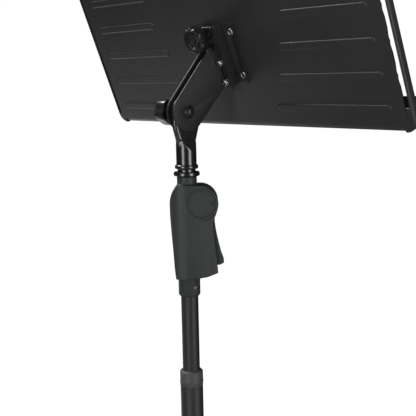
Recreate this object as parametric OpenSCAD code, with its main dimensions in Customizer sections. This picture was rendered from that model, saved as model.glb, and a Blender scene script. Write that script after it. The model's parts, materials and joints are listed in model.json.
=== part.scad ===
// Music stand: sheet-metal desk on a tilting arm, one-hand height clutch, folding tripod.
// Origin: where the stand's tube axis meets the floor. +Z up, the reader stands at -Y. Millimetres.

/* [Desk] */
// Width of the desk
desk_w = 514; // [430:1:620]
// Height of the desk panel, measured along it
desk_h = 343; // [300:1:400]
// Lean of the desk from upright at rest, in degrees
desk_lean = 21; // [10:1:30]
// Thickness of the desk's sheet steel
desk_sheet = 1.5; // [1:0.1:2.5]
// Depth of the tray that the music rests on
tray_d = 62; // [45:1:80]
// Height of the lip along the tray's front edge
lip_h = 15; // [8:1:25]
// Depth of the turned-in rims along the sides and the top
rim_d = 9; // [6:1:14]
// Outer radius of the bend between the panel and the tray
bend_r = 8; // [4:0.5:12]
// Length-wise rows of pressed ribs
rib_rows = 8; // [4:1:8]
// Distance from one rib to the next
rib_pitch = 36; // [30:1:40]
// Width of a pressed rib
rib_w = 9; // [6:0.5:12]
// How far a rib stands out of the back
rib_raise = 1.4; // [0.8:0.1:2]

/* [Arm and bracket] */
// Distance from the tilt pivot to the back of the desk
desk_reach = 76.6; // [70:0.5:95]
// Height of the tilt pivot above the desk's bottom edge, along the desk
pivot_v = 52.6; // [45:0.5:60]
// Radius of the arm's round end at the pivot
arm_nose_r = 22; // [20:0.5:26]
// Width across the two side plates of the arm
arm_w = 13.4; // [12:0.1:16]
// Thickness of the arm's sheet steel
arm_sheet = 2; // [1.5:0.1:2.5]
// Width of the arm's base plate
plate_w = 40; // [38:0.5:46]
// Height of the arm's base plate
plate_h = 76; // [74:1:84]
// How far the desk bracket's channel stands off the desk
channel_d = 13; // [11:0.5:16]
// Distance from the arm's side plate to the outside of the desk bracket's channel
channel_side = 10.3; // [10.3:0.1:12.3]
// Width across the desk bracket's two flanges
flange_w = 72; // [66:1:84]

/* [Column] */
// Outer diameter of the lower tube
lower_d = 27; // [25:0.5:32]
// Wall of the lower tube
lower_wall = 1.5; // [1:0.1:2]
// Length of the lower tube
lower_len = 545; // [420:5:700]
// Diameter of the shaft that slides in the lower tube
shaft_d = 20.4; // [18:0.2:21]
// Length of the shaft
shaft_len = 520; // [480:5:640]
// Length of shaft that shows between the guide collar and the grip
shaft_shown = 90; // [5:1:250]
// Diameter of the neck tube
neck_d = 23.5; // [22:0.5:26]
// Thickness of the neck's flattened end
tang_t = 8.4; // [7.4:0.1:9.4]
// Width of the neck's flattened end
tang_w = 38; // [32:0.5:40]
// Direction in which the grip's trigger points, in degrees from +X
grip_turn = 230; // [0:5:355]

/* [Clutch] */
// Distance from the grip's axis to the trigger pin
trigger_arm = 29; // [27:0.5:30]
// Travel of the trigger in degrees
trigger_travel = 5; // [3:0.5:6]
// Diameter of the pull rod
rod_d = 6; // [5:0.5:7]
// Radius of the clutch wedge's wide end
wedge_r = 7; // [6.5:0.5:7.5]

/* [Tripod] */
// Distance from the tube's axis to the end of a foot
leg_reach = 290; // [240:5:360]
// Height of the leg pins above the floor
leg_pin_z = 66; // [55:1:80]
// Distance from the tube's axis to a leg pin
leg_pin_x = 31; // [29:0.5:36]
// Height of a leg's section
leg_h = 18; // [14:0.5:20]
// Width of a leg's section
leg_w = 14; // [10:0.5:16]
// Diameter of the leg pins
leg_pin_d = 6; // [5:0.5:7]

/* [Clearances] */
// Radial clearance of a shaft that turns or slides in its bore
running = 0.08; // [0.04:0.01:0.1]
// Gap between pieces that move past each other
gap = 0.5; // [0.3:0.05:0.6]

/* [Hidden] */
$fn = 64;

eps = 0.01;
black = [0.11, 0.11, 0.115];
satin_black = [0.16, 0.16, 0.17];
grip_grey = [0.22, 0.24, 0.24];
zinc = [0.78, 0.79, 0.8];
collar_grey = [0.3, 0.31, 0.32];
brass = [0.7, 0.62, 0.4];

// Column heights, from the floor up
hub_bottom = leg_pin_z - 28;
hub_top = leg_pin_z + 18;
tube_z = hub_bottom + 12;
tube_top = tube_z + lower_len;
collar_h = 19;
collar_top = tube_top + collar_h;
sleeve_z = collar_top + shaft_shown;
sleeve_h = 21.5;
grip_h = 141;
ring_h = 13;
neck_z = sleeve_z + grip_h + gap + ring_h;
neck_rise = 60.3;
pivot_z = neck_z + neck_rise;
bore_r = lower_d / 2 - lower_wall;
shaft_r = shaft_d / 2;

// Base plate of the arm, in the tilted frame
plate_y = -desk_reach + channel_d;
plate_face = plate_y + arm_sheet;
plate_z = 1.6;
plate_screw_z = [11.4, 35.4];
plate_screw_r = 2.5;
thumb_z = 69.4;
thumb_r = 16;
thumb_disc = 10;
thumb_face = plate_face + 22;
stud_r = 4;

// Desk bracket
bracket_sheet = 2;
bracket_z = 5.2;
bracket_h = 72;
rivet_x = 28.6;
rivet_z = [15.2, 66.6];
rivet_r = 3;
rivet_flange_r = rivet_r + 1.4;
rivet_flange = 0.8;
nut_r = 4;
channel_w = arm_w + 2 * channel_side;
plate_screw_x = channel_w / 2 - bracket_sheet - nut_r * cos(30) - 0.14;

// Pivot hardware
bolt_r = 4;
handle_x = arm_w / 2 + 2.2;
handle_r = 16.4;
handle_out = 42;
cup_x = 24;
insert_r = 6;

// Tripod
foot_len = 34;
leg_drop = leg_pin_z - 19;
leg_angle = atan(leg_drop / (leg_reach - leg_pin_x));
leg_len = (leg_reach - leg_pin_x) / cos(leg_angle) - 8;
leg_turns = [270, 150, 30];

// Clutch heights, measured from the sleeve's bottom
core_r = 12.8;
core_top = 128;
shaft_top = 57;
spring_foot = 70;
spring_head = 96;
spring_r = 6;
spring_wire = 1.2;
spring_turns = 7;
spindle_r = 7;
pin_z = 111.5;
pin_r = 2;
rod_head_z = 116.6;
shaft_foot = shaft_top - shaft_len;
clutch_len = 60;
wedge_h = 22;
wedge_z = shaft_foot - 30;
wedge_taper = 3;

// ---------- frames and helpers ----------

// The frame that tilts with the desk: origin on the pivot, +Y out of the desk's back, +Z up the desk
module tilted() {
    translate([0, 0, pivot_z]) rotate([-desk_lean, 0, 0]) children();
}

// The grip's frame: origin at the sleeve's bottom, +X towards the trigger
module gripped() {
    translate([0, 0, sleeve_z]) rotate([0, 0, grip_turn]) children();
}

// A cylinder along X from x0 to x1
module rod_x(r, x0, x1) {
    translate([x0, 0, 0]) rotate([0, 90, 0]) cylinder(r = r, h = x1 - x0);
}

// A cylinder along Y from y0 to y1
module rod_y(r, y0, y1) {
    translate([0, y1, 0]) rotate([90, 0, 0]) cylinder(r = r, h = y1 - y0);
}

// A hollow round tube along Z
module pipe(r_out, r_in, z0, z1) {
    translate([0, 0, z0]) difference() {
        cylinder(r = r_out, h = z1 - z0);
        translate([0, 0, -1]) cylinder(r = r_in, h = z1 - z0 + 2);
    }
}

// A flat shape drawn in Y and Z, extruded along X about the middle
module slab_x(width) {
    translate([-width / 2, 0, 0]) rotate([90, 0, 90]) linear_extrude(height = width) children();
}

// A flat shape drawn in X and Z, extruded along Y from y0 to y1
module slab_y(y0, y1) {
    translate([0, y1, 0]) rotate([90, 0, 0]) linear_extrude(height = y1 - y0) children();
}

// A rectangle with four round corners
module round_rect(x0, z0, x1, z1, r) {
    translate([x0 + r, z0]) square([x1 - x0 - 2 * r, z1 - z0]);
    translate([x0, z0 + r]) square([x1 - x0, z1 - z0 - 2 * r]);
    for (x = [x0 + r, x1 - r], z = [z0 + r, z1 - r]) translate([x, z]) circle(r = r);
}

// Points along a cubic curve
function curve(a, b, c, d, n = 8) = [for (i = [0 : n - 1]) let(t = i / n)
    pow(1 - t, 3) * a + 3 * t * pow(1 - t, 2) * b + 3 * t * t * (1 - t) * c + pow(t, 3) * d];

// ---------- desk ----------

// The desk's parts are drawn in the tilted frame, with the back face at y = -desk_reach
desk_z = -pivot_v;
desk_corner = 14;

// The inner end of rib i steps towards the middle row, so the ends form an arrow
function rib_row_z(i) = desk_z + 26.5 + i * rib_pitch;
function rib_inner(i) = 74 + 14 * min(i, rib_rows - 1 - i);
rib_margin = 29;

// Outline of the panel, with its two lower corners rounded
module panel_outline(inset) {
    x = desk_w / 2 - inset;
    z0 = desk_z + inset;
    z1 = desk_z + desk_h - inset;
    r = desk_corner - inset;
    translate([-x, z0 + r]) square([2 * x, z1 - z0 - r]);
    translate([-x + r, z0]) square([2 * (x - r), r + eps]);
    for (s = [-1, 1]) translate([s * (x - r), z0 + r]) circle(r = r);
}

// One pressed rib: a bar with round ends
module rib_bar(i, side, w) {
    x0 = rib_inner(i);
    x1 = desk_w / 2 - rib_margin;
    z = rib_row_z(i);
    scale([side, 1]) {
        translate([x0, z - w / 2]) square([x1 - x0, w]);
        for (x = [x0, x1]) translate([x, z]) circle(r = w / 2);
    }
}

// Cross-section of the bend, the tray and the lip, in y (out of the back) and z
module tray_section() {
    back = -desk_reach;
    difference() {
        translate([back - bend_r, desk_z + bend_r]) circle(r = bend_r);
        translate([back - bend_r, desk_z + bend_r]) circle(r = bend_r - desk_sheet);
        translate([back - 2 * bend_r - 1, desk_z]) square([bend_r + 1, 2 * bend_r + 1]);
        translate([back - bend_r - 1, desk_z + bend_r]) square([bend_r + 2, bend_r + 1]);
    }
    translate([back - tray_d, desk_z]) square([tray_d - bend_r, desk_sheet]);
    translate([back - tray_d, desk_z]) square([desk_sheet, lip_h]);
}

module desk_panel() {
    back = -desk_reach;
    tray_half = desk_w / 2 - desk_corner;
    color(black) tilted() difference() {
        union() {
            // sheet
            slab_y(back - desk_sheet, back) difference() {
                panel_outline(0);
                translate([-tray_half, desk_z - 1]) square([2 * tray_half, bend_r + 1]);
            }
            // rims along the sides, round the lower corners and along the top
            slab_y(back - rim_d, back - desk_sheet + eps) difference() {
                panel_outline(0);
                panel_outline(desk_sheet);
                translate([-tray_half, desk_z - 1]) square([2 * tray_half, bend_r + 1]);
            }
            // bend, tray and lip
            slab_x(2 * tray_half) tray_section();
            // ribs pressed out towards the back
            for (i = [0 : rib_rows - 1], s = [-1, 1])
                slab_y(back - eps, back + rib_raise) rib_bar(i, s, rib_w);
        }
        // hollows of the ribs, seen from the front
        for (i = [0 : rib_rows - 1], s = [-1, 1])
            slab_y(back - desk_sheet - 1, back + rib_raise - desk_sheet + 0.4)
                rib_bar(i, s, rib_w - 2 * desk_sheet);
        // rivet holes, recessed at the front for the rivets' flanges
        for (x = [-rivet_x, rivet_x], z = rivet_z)
            translate([x, 0, z]) {
                rod_y(rivet_r, back - 2 * desk_sheet, back + 1);
                rod_y(rivet_flange_r, back - 2 * desk_sheet, back - desk_sheet + rivet_flange);
            }
    }
}

module desk_bracket() {
    back = -desk_reach;
    half = channel_w / 2;
    color(satin_black) tilted() difference() {
        union() {
            for (s = [-1, 1]) {
                slab_y(back, back + bracket_sheet) scale([s, 1])
                    round_rect(half - bracket_sheet, bracket_z, flange_w / 2, bracket_z + bracket_h, 3);
                translate([s * (half - bracket_sheet / 2) - bracket_sheet / 2, back, bracket_z])
                    cube([bracket_sheet, channel_d, bracket_h]);
            }
            translate([-half, plate_y - bracket_sheet, bracket_z]) cube([channel_w, bracket_sheet, bracket_h]);
        }
        for (x = [-rivet_x, rivet_x], z = rivet_z)
            translate([x, 0, z]) rod_y(rivet_r, back - 1, back + bracket_sheet + 1);
        for (x = [-plate_screw_x, plate_screw_x], z = plate_screw_z)
            translate([x, 0, z]) rod_y(plate_screw_r, plate_y - bracket_sheet - 1, plate_y + 1);
        translate([0, 0, thumb_z]) rod_y(6, plate_y - bracket_sheet - 1, plate_y + 1);
    }
}

// Hollow rivets: a tube with a flange on each side, the front one flush with the panel
module bracket_rivets() {
    back = -desk_reach;
    head = 1.1;
    color(zinc) tilted() for (x = [-rivet_x, rivet_x], z = rivet_z) translate([x, 0, z]) difference() {
        union() {
            rod_y(rivet_r, back - desk_sheet + eps, back + bracket_sheet + eps);
            rod_y(rivet_flange_r, back - desk_sheet, back - desk_sheet + rivet_flange);
            rod_y(rivet_r + 1.1, back + bracket_sheet, back + bracket_sheet + head);
        }
        rod_y(rivet_r - 1, back - desk_sheet - 2, back + bracket_sheet + 3);
    }
}

// ---------- tilting arm ----------

// The side plates run from the round nose at the pivot to the base plate
arm_run = plate_face + 1;
arm_low = 6.2;
arm_high = 56.5;
arm_lower_angle = atan(arm_low / -arm_run) + asin(arm_nose_r / norm([arm_run, arm_low]));
arm_upper_angle = atan(arm_high / -arm_run) - asin(arm_nose_r / norm([arm_run, arm_high]));

// Height of the side plate's lower edge at distance y from the pivot
function arm_edge(y) = -arm_nose_r / cos(arm_lower_angle) - y * tan(arm_lower_angle);

module side_plate_outline() {
    join_r = arm_nose_r - 0.12;
    circle(r = arm_nose_r, $fn = 128);
    polygon(concat(
        [[0, 0], [-join_r * sin(arm_lower_angle), -join_r * cos(arm_lower_angle)],
         [arm_run - 1.5, arm_low], [arm_run - 1.5, arm_high - 6]],
        curve([arm_run, arm_high - 6], [arm_run + 1, arm_high - 1],
              [arm_run + 2.5, arm_high + 1], [arm_run + 5, arm_high - 1], 8),
        [[arm_run + 5, arm_high - 1],
         [join_r * sin(arm_upper_angle), join_r * cos(arm_upper_angle)]]));
}

// An upright slot of half-width r whose end centres are at z0 and z1
module slot(r, z0, z1) {
    translate([-r, z0]) square([2 * r, z1 - z0]);
    for (z = [z0, z1]) translate([0, z]) circle(r = r);
}

module tilt_arm() {
    spine_y = [-26, arm_run - 1.5];
    spine_lift = 0.4;
    color(satin_black) tilted() difference() {
        union() {
            for (s = [-1, 1]) translate([s * (arm_w - arm_sheet) / 2, 0, 0])
                slab_x(arm_sheet) side_plate_outline();
            // base plate
            slab_y(plate_y, plate_face)
                round_rect(-plate_w / 2, plate_z, plate_w / 2, plate_z + plate_h, 1.5);
            // spine that closes the channel along its lower edge
            slab_x(arm_w - arm_sheet) polygon(concat(
                [for (y = spine_y) [y, arm_edge(y) + spine_lift]],
                [for (k = [1, 0]) [spine_y[k], arm_edge(spine_y[k]) + spine_lift + arm_sheet]]));
        }
        rod_x(bolt_r, -arm_w, arm_w);
        for (s = [-1, 1]) translate([s * plate_screw_x, 0, 0]) slab_y(plate_y - 1, plate_face + 1)
            slot(plate_screw_r + 0.1, plate_screw_z[0], plate_screw_z[1]);
        translate([0, 0, thumb_z]) rod_y(stud_r + 0.4, plate_y - 1, plate_face + 1);
    }
}

// Zinc screws in the base plate: a round head with a cross recess, and the shank
module plate_screws() {
    color(zinc) tilted() for (x = [-plate_screw_x, plate_screw_x], z = plate_screw_z)
        translate([x, 0, z]) difference() {
            union() {
                rod_y(plate_screw_r, plate_y - bracket_sheet - 7, plate_face + 2);
                rod_y(4.3, plate_face + 1, plate_face + 3.4);
                rod_y(3.4, plate_face + 3.4 - eps, plate_face + 4.2);
            }
            for (a = [0, 90]) rotate([0, a + 45, 0]) translate([-2.4, plate_face + 2.6, -0.5]) cube([4.8, 3, 1]);
        }
}

module plate_washers() {
    color(zinc) tilted() for (x = [-plate_screw_x, plate_screw_x], z = plate_screw_z)
        translate([x, 0, z]) difference() {
            rod_y(4.6, plate_face, plate_face + 1);
            rod_y(plate_screw_r, plate_face - 1, plate_face + 2);
        }
}

module plate_nuts() {
    nut_h = 4;
    color(zinc) tilted() for (x = [-plate_screw_x, plate_screw_x], z = plate_screw_z)
        translate([x, plate_y - bracket_sheet, z]) rotate([90, 30, 0]) difference() {
            cylinder(r = nut_r, h = nut_h, $fn = 6);
            translate([0, 0, -1]) cylinder(r = plate_screw_r, h = nut_h + 2);
        }
}

// ---------- tilt pivot ----------

// Domed bolt head, turned about X
module dome_x(r, h, lift) {
    ball = (r * r + h * h) / (2 * h);
    rotate([0, -90, 0]) translate([0, 0, lift]) intersection() {
        translate([0, 0, h - ball]) sphere(r = ball, $fn = 96);
        cylinder(r = r, h = h + 1);
    }
}

module pivot_bolt() {
    color(black) translate([0, 0, pivot_z]) {
        rod_x(bolt_r, -arm_w / 2 - 1.5, handle_out - 6);
        rod_x(7.6, -arm_w / 2 - 1.2, -arm_w / 2);
        dome_x(6.4, 3.6, arm_w / 2 + 1.2 - eps);
    }
}

// Washer between the arm and the handle
module handle_washer() {
    color(zinc) translate([0, 0, pivot_z]) difference() {
        rod_x(11, arm_w / 2, arm_w / 2 + 1.4);
        rod_x(bolt_r, 0, arm_w * 2);
    }
}

// Hollow-backed clamp knob: a hub inside a lobed cup
module lobed(r, lobe, count) {
    circle(r = r, $fn = 96);
    for (i = [0 : count - 1]) rotate(i * 360 / count) translate([r - lobe / 2, 0]) circle(r = lobe, $fn = 32);
}

module tilt_handle() {
    color(black) tilted() difference() {
        union() {
            rod_x(8.6, handle_x, handle_out);
            difference() {
                translate([cup_x, 0, 0]) rotate([90, 0, 90]) linear_extrude(height = handle_out - cup_x)
                    lobed(handle_r - 1.6, 4, 5);
                rod_x(handle_r - 3.6, cup_x - 1, handle_out - 3);
            }
            for (a = [0 : 72 : 359]) rotate([a, 0, 0]) translate([cup_x + 4, -1, insert_r + 1])
                cube([handle_out - cup_x - 6, 2, handle_r - insert_r - 4]);
        }
        rod_x(insert_r, handle_x - 1, handle_out - 5);
    }
}

module handle_insert() {
    color(zinc) translate([0, 0, pivot_z]) difference() {
        rod_x(insert_r, handle_x, handle_out - 5);
        rod_x(bolt_r + running, handle_x - 1, handle_out - 4);
    }
}

// ---------- thumb screw that locks the desk to the arm ----------

module thumb_knob() {
    foot = plate_face + 1.2;
    color(black) tilted() translate([0, 0, thumb_z]) difference() {
        union() {
            rod_y(stud_r + 3, foot, thumb_face - thumb_disc + 1);
            slab_y(thumb_face - thumb_disc, thumb_face - 2.4) lobed(thumb_r - 1.8, 3.6, 8);
            rod_y(thumb_r - 2.4, thumb_face - 3, thumb_face);
        }
        difference() {
            rod_y(thumb_r - 5, thumb_face - 1.4, thumb_face + 1);
            rod_y(thumb_r - 8, thumb_face - 2, thumb_face - eps);
        }
        rod_y(stud_r, foot - 1, thumb_face - 4);
    }
}

module thumb_stud() {
    color(zinc) tilted() translate([0, 0, thumb_z]) {
        rod_y(stud_r, plate_y - bracket_sheet - 8, thumb_face - 4);
    }
}

// Square nut held inside the desk bracket's channel
module clamp_nut() {
    color(zinc) tilted() translate([0, 0, thumb_z]) difference() {
        translate([-8, plate_y - bracket_sheet - 6, -8]) cube([16, 6, 16]);
        rod_y(stud_r + running, plate_y - bracket_sheet - 7, plate_y);
    }
}

// ---------- neck ----------

// The neck is round below and flattened at the top, where the arm straddles it
neck_wall = 2;
pinch_low = -43;
pinch_high = -29.3;

// Side view of the flattened end in y and z
module tang_outline() {
    half = tang_w / 2;
    r = neck_d / 2;
    flare = curve([half, -8], [half, -22], [r + 0.6, pinch_high], [r, pinch_low - 1]);
    circle(r = half, $fn = 96);
    polygon(concat([[half, 0]], flare, [[r, pinch_low - 1], [-r, pinch_low - 1]],
                   [for (k = [len(flare) - 1 : -1 : 0]) [-flare[k][0], flare[k][1]]], [[-half, 0]]));
}

module neck_tube() {
    r = neck_d / 2;
    color(satin_black) translate([0, 0, pivot_z]) difference() {
        union() {
            translate([0, 0, -neck_rise]) cylinder(r = r, h = neck_rise - 12);
            slab_x(tang_t) tang_outline();
        }
        // faces pinched in from the round part up to the flattened end
        for (s = [-1, 1]) scale([s, 1, 1]) slab_y(-r - 1, r + 1) polygon([
            [r + 1, pinch_low - (pinch_high - pinch_low) / (r - tang_t / 2)], [r, pinch_low],
            [tang_t / 2, pinch_high], [tang_t / 2, 0], [r + 1, 0]]);
        translate([0, 0, -neck_rise - 1]) cylinder(r = r - neck_wall, h = neck_rise + pinch_low - 4);
        rod_x(bolt_r + running, -tang_t, tang_t);
    }
}

// Two glossy rings with a waist, pressed on the foot of the neck
module ring_collar() {
    ring_t = 5;
    color(black) translate([0, 0, neck_z - ring_h]) difference() {
        union() {
            cylinder(r = 15.1, h = ring_t);
            translate([0, 0, ring_t - eps]) cylinder(r = 10.4, h = ring_h - 2 * ring_t + 2 * eps);
            translate([0, 0, ring_h - ring_t]) cylinder(r = 13.5, h = ring_t);
        }
        translate([0, 0, -1]) cylinder(r = spindle_r + running, h = ring_h + 2);
    }
}

module swivel_spindle() {
    top = grip_h + ring_h + 2 * gap;
    color(zinc) gripped() {
        translate([0, 0, core_top]) cylinder(r = spindle_r, h = top - core_top);
        translate([0, 0, top - eps]) cylinder(r = spindle_r + 1.6, h = 3);
    }
}

// ---------- grip ----------

// Side view of the grip in x and z; i is how far the outline is drawn in
function side_outline(i) = concat(
    curve([-11 + i, 131.5 - i], [-14.5 + i, 127 - i], [-20.8 + i, 121 - i], [-20.8 + i, 108]),
    curve([-20.8 + i, 108], [-20.8 + i, 85], [-17 + i, 60], [-16 + i, 22 + i]),
    curve([-15 + i, 21.5 + i], [0, 21.6 + i], [20, 23 + i], [33 - i, 26.8 + i], 4),
    [[34.2 - i, 28.5 + i], [33.2 - i, 36.5]],
    curve([33.2 - i, 36.5], [32.4 - i, 52], [28.6 - i, 76], [29.4 - i, 89]),
    curve([29.4 - i, 89], [30.6 - i, 93], [36 - i, 102], [36 - i, 110]),
    curve([36 - i, 110], [36 - i, 121], [28 - i, 132 - i], [14, 132 - i]));

// Plan of the grip in x and y
function plan_half(i) = concat(
    curve([-20.8 + i, 0], [-20.8 + i, 12 - i], [-10, 18 - i], [2, 18 - i]),
    curve([2, 18 - i], [14, 18 - i], [22, 15.6 - i], [31, 14.6 - i]),
    curve([31, 14.6 - i], [36 - i, 14 - i], [36.1 - i, 8], [36.1 - i, 0]));
function plan_outline(i) = let(h = plan_half(i))
    concat(h, [for (k = [len(h) - 1 : -1 : 1]) [h[k][0], -h[k][1]]]);

module grip_form(i) {
    intersection() {
        slab_y(-30, 30) polygon(side_outline(i));
        linear_extrude(height = grip_h + 10) polygon(plan_outline(i));
    }
}

grip_wall = 2.6;
trigger_w = 18.4;
grip_screw_at = [[19.5, 124.2], [20, 32]];

// One half of the grip: side 1 is +y, side -1 is -y
module grip_half(side) {
    intersection() {
        difference() {
            union() {
                grip_form(0);
                translate([0, 0, 130]) cylinder(r = 11.6, h = grip_h - 130);
            }
            difference() {
                grip_form(grip_wall);
                // screw posts and the pin's bosses
                for (p = grip_screw_at) translate([p[0], 0, p[1]]) rod_y(4, -20, 20);
                for (s = [-1, 1]) translate([trigger_arm, s * (trigger_w / 2 + 6), pin_z])
                    rod_y(5, -6 + gap, 6);
            }
            translate([0, 0, -5]) cylinder(r = core_r, h = core_top + 5);
            translate([0, 0, 100]) cylinder(r = spindle_r + gap, h = 60);
            // channel that the trigger swings in
            translate([15, -trigger_w / 2 - gap, 33]) cube([40, trigger_w + 2 * gap, pin_z - 33 + 8]);
            translate([trigger_arm, 0, pin_z]) rod_y(pin_r, -20, 20);
            for (p = grip_screw_at) translate([p[0], 0, p[1]]) {
                rod_y(1.5, -9, 30);
                rod_y(3, 12.5, 30);
            }
            // seat of the badge
            translate([badge_x, 0, badge_z]) rod_y(badge_r + 0.2, -30, -badge_y);
        }
        translate([-60, side > 0 ? 0 : -60, -10]) cube([120, 60, 200]);
    }
}

badge_x = 16.6;
badge_z = 110.4;
badge_r = 16.4;
badge_y = 13.6;

module grip_left() {
    color(grip_grey) gripped() grip_half(1);
}

module grip_right() {
    color(grip_grey) gripped() grip_half(-1);
}

module badge() {
    color([0.24, 0.26, 0.26]) gripped() translate([badge_x, 0, badge_z]) difference() {
        rod_y(badge_r, -badge_y - 1.3, -badge_y);
        difference() {
            rod_y(badge_r - 1.6, -badge_y - 2, -badge_y - 0.8);
            rod_y(badge_r - 5, -badge_y - 3, -badge_y);
        }
        translate([trigger_arm - badge_x, 0, pin_z - badge_z]) rod_y(pin_r + 0.6, -20, 0);
    }
}

module grip_screws() {
    color(zinc) gripped() for (p = grip_screw_at) translate([p[0], 0, p[1]]) {
        rod_y(1.5, -9, 13);
        rod_y(2.9, 12.5, 14.2);
    }
}

// Metal core: sleeve for the shaft below, spring pocket, window for the trigger's fork, seat for the spindle
module grip_core() {
    color(satin_black) gripped() difference() {
        union() {
            translate([0, 0, 2.5]) cylinder(r = core_r, h = core_top - 2.5);
            cylinder(r1 = core_r - 1.6, r2 = core_r, h = 2.5 + eps);
        }
        translate([0, 0, -1]) cylinder(r = shaft_r, h = shaft_top + 1);
        translate([0, 0, 50]) cylinder(r = rod_d / 2 + 1, h = 70);
        translate([0, 0, spring_foot - 8]) cylinder(r = spring_r + 1.2, h = spring_head - spring_foot + 8);
        translate([-core_r - 1, -5.5, 100]) cube([2 * core_r + 2, 11, 24]);
        rotate([0, 0, -52]) translate([0, 0, 11]) rod_x(2, 0, core_r + 1);
    }
}

// ---------- trigger and clutch ----------

// Side view of the trigger
function trigger_outline() = concat(
    curve([31.3, 93.5], [31, 80], [34.6, 66], [38, 51.5]),
    curve([38, 51.5], [39.4, 47], [42, 41.4], [41, 39.8], 5),
    curve([41, 39.8], [38, 38], [35.5, 36.8], [33, 36.8], 4),
    curve([32.4, 38], [30.6, 48], [26, 66], [24.4, 84]),
    [[23.4, 100]]);

module trigger() {
    fork = 7;
    color(grip_grey) gripped() difference() {
        union() {
            slab_y(-trigger_w / 2, trigger_w / 2) {
                polygon(trigger_outline());
                polygon([[23.4, 100], [30.3, 93.5], [33.5, 101], [33.8, 107], [24.2, 108]]);
                translate([trigger_arm, pin_z]) circle(r = 5);
            }
            // lever that reaches under the rod's head
            slab_y(-fork / 2 - 1.5, fork / 2 + 1.5)
                translate([-6, pin_z - 2.5]) square([trigger_arm + 6, 5]);
        }
        translate([trigger_arm, 0, pin_z]) rod_y(pin_r + running, -20, 20);
        translate([-7, -fork / 2, pin_z - 4]) cube([13, fork, 8]);
        translate([14, -trigger_w, pin_z - 9]) cube([trigger_arm - 14 - 6, 2 * trigger_w, 6.4]);
    }
}

module trigger_pin() {
    color(zinc) gripped() translate([trigger_arm, 0, pin_z]) {
        rod_y(pin_r, -14.6, 14.6);
    }
}

// Coil spring that pushes the rod down and the trigger out: a stack of rings
module trigger_spring() {
    pitch = (spring_head - spring_foot - spring_wire) / spring_turns;
    color(zinc) gripped() {
        for (i = [0 : spring_turns]) translate([0, 0, spring_foot + spring_wire / 2 + i * pitch])
            rotate_extrude($fn = 32) translate([spring_r - spring_wire / 2, 0]) circle(r = spring_wire / 2, $fn = 16);
        for (i = [0 : spring_turns - 1])
            rotate([0, 0, i * 180]) translate([spring_r - spring_wire / 2, 0, spring_foot + spring_wire / 2 + i * pitch])
                cylinder(r = spring_wire / 2.4, h = pitch, $fn = 16);
    }
}

module pull_rod() {
    foot = wedge_z + wedge_h;
    color(zinc) gripped() {
        translate([0, 0, foot]) cylinder(r = rod_d / 2, h = rod_head_z - foot);
        translate([0, 0, rod_head_z - 1.8]) cylinder(r = rod_d / 2 + 2, h = 1.8);
        translate([0, 0, spring_foot - 3]) cylinder(r = spring_r, h = 3 - eps);
    }
}

// Cone that spreads the shoes when the spring pushes it down
module clutch_wedge() {
    color(zinc) gripped() translate([0, 0, wedge_z]) {
        cylinder(r1 = wedge_r - wedge_taper, r2 = wedge_r, h = wedge_h);
    }
}

// Carrier at the foot of the shaft, with windows for the shoes
module clutch_body() {
    top = shaft_foot;
    color(satin_black) gripped() difference() {
        union() {
            translate([0, 0, top - clutch_len]) cylinder(r = bore_r - 0.4, h = 14);
            translate([0, 0, top - clutch_len]) cylinder(r = 3.4, h = 20);
            translate([0, 0, top - 4]) cylinder(r = bore_r - 0.4, h = 4);
            translate([0, 0, top - eps]) cylinder(r = shaft_r - 1.5, h = 24);
            for (a = [0, 180]) rotate([0, 0, a]) intersection() {
                pipe(bore_r - 0.4, 8.4, top - clutch_len, top);
                translate([0, -2.6, top - clutch_len]) cube([20, 5.2, clutch_len]);
            }
        }
        translate([0, 0, top - 10]) cylinder(r = rod_d / 2 + 0.6, h = 40);
    }
}

// Two half-round shoes that press on the lower tube's bore
module clutch_shoes() {
    z0 = shaft_foot - clutch_len + 14.5;
    z1 = shaft_foot - 4.5;
    r0 = wedge_r - wedge_taper + 0.4;
    r1 = r0 + (z1 - wedge_z) * wedge_taper / wedge_h;
    out = bore_r - running;
    color(brass) gripped() difference() {
        rotate_extrude() polygon([[r0, z0], [out, z0], [out, z1], [r1, z1], [r0, wedge_z]]);
        translate([-20, -3, z0 - 1]) cube([40, 6, z1 - z0 + 2]);
    }
}

module set_screw() {
    color(zinc) gripped() rotate([0, 0, -52]) translate([0, 0, 11]) difference() {
        rod_x(2, shaft_r, core_r - 0.4);
        translate([core_r - 2, 0, 0]) rotate([0, 90, 0]) cylinder(r = 1, h = 3, $fn = 6);
    }
}

module shaft() {
    color(black) gripped() pipe(shaft_r, shaft_r - 1.5, shaft_foot, shaft_top);
}

// ---------- lower tube and tripod ----------

module guide_collar() {
    color(collar_grey) difference() {
        union() {
            translate([0, 0, tube_top]) cylinder(r = lower_d / 2 + 0.2, h = collar_h - 2);
            translate([0, 0, collar_top - 2 - eps]) cylinder(r1 = lower_d / 2 + 0.2, r2 = lower_d / 2 - 1.6, h = 2);
            translate([0, 0, tube_top + 4]) cylinder(r = lower_d / 2 + 0.5, h = 1.6);
            translate([0, 0, tube_top - 34]) cylinder(r = bore_r, h = 35);
        }
        translate([0, 0, tube_top - 40]) cylinder(r = shaft_r + running, h = 80);
    }
}

module lower_tube() {
    color(satin_black) pipe(lower_d / 2, bore_r, tube_z, tube_top);
}

module tube_plug() {
    color(black) translate([0, 0, hub_bottom]) difference() {
        union() {
            translate([0, 0, -3]) cylinder(r = lower_d / 2 + 2, h = 3);
            cylinder(r = 9, h = 30);
            translate([0, 0, 12]) cylinder(r = bore_r, h = 20);
        }
        translate([0, 0, 3]) cylinder(r = 6, h = 60);
    }
}

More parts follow.
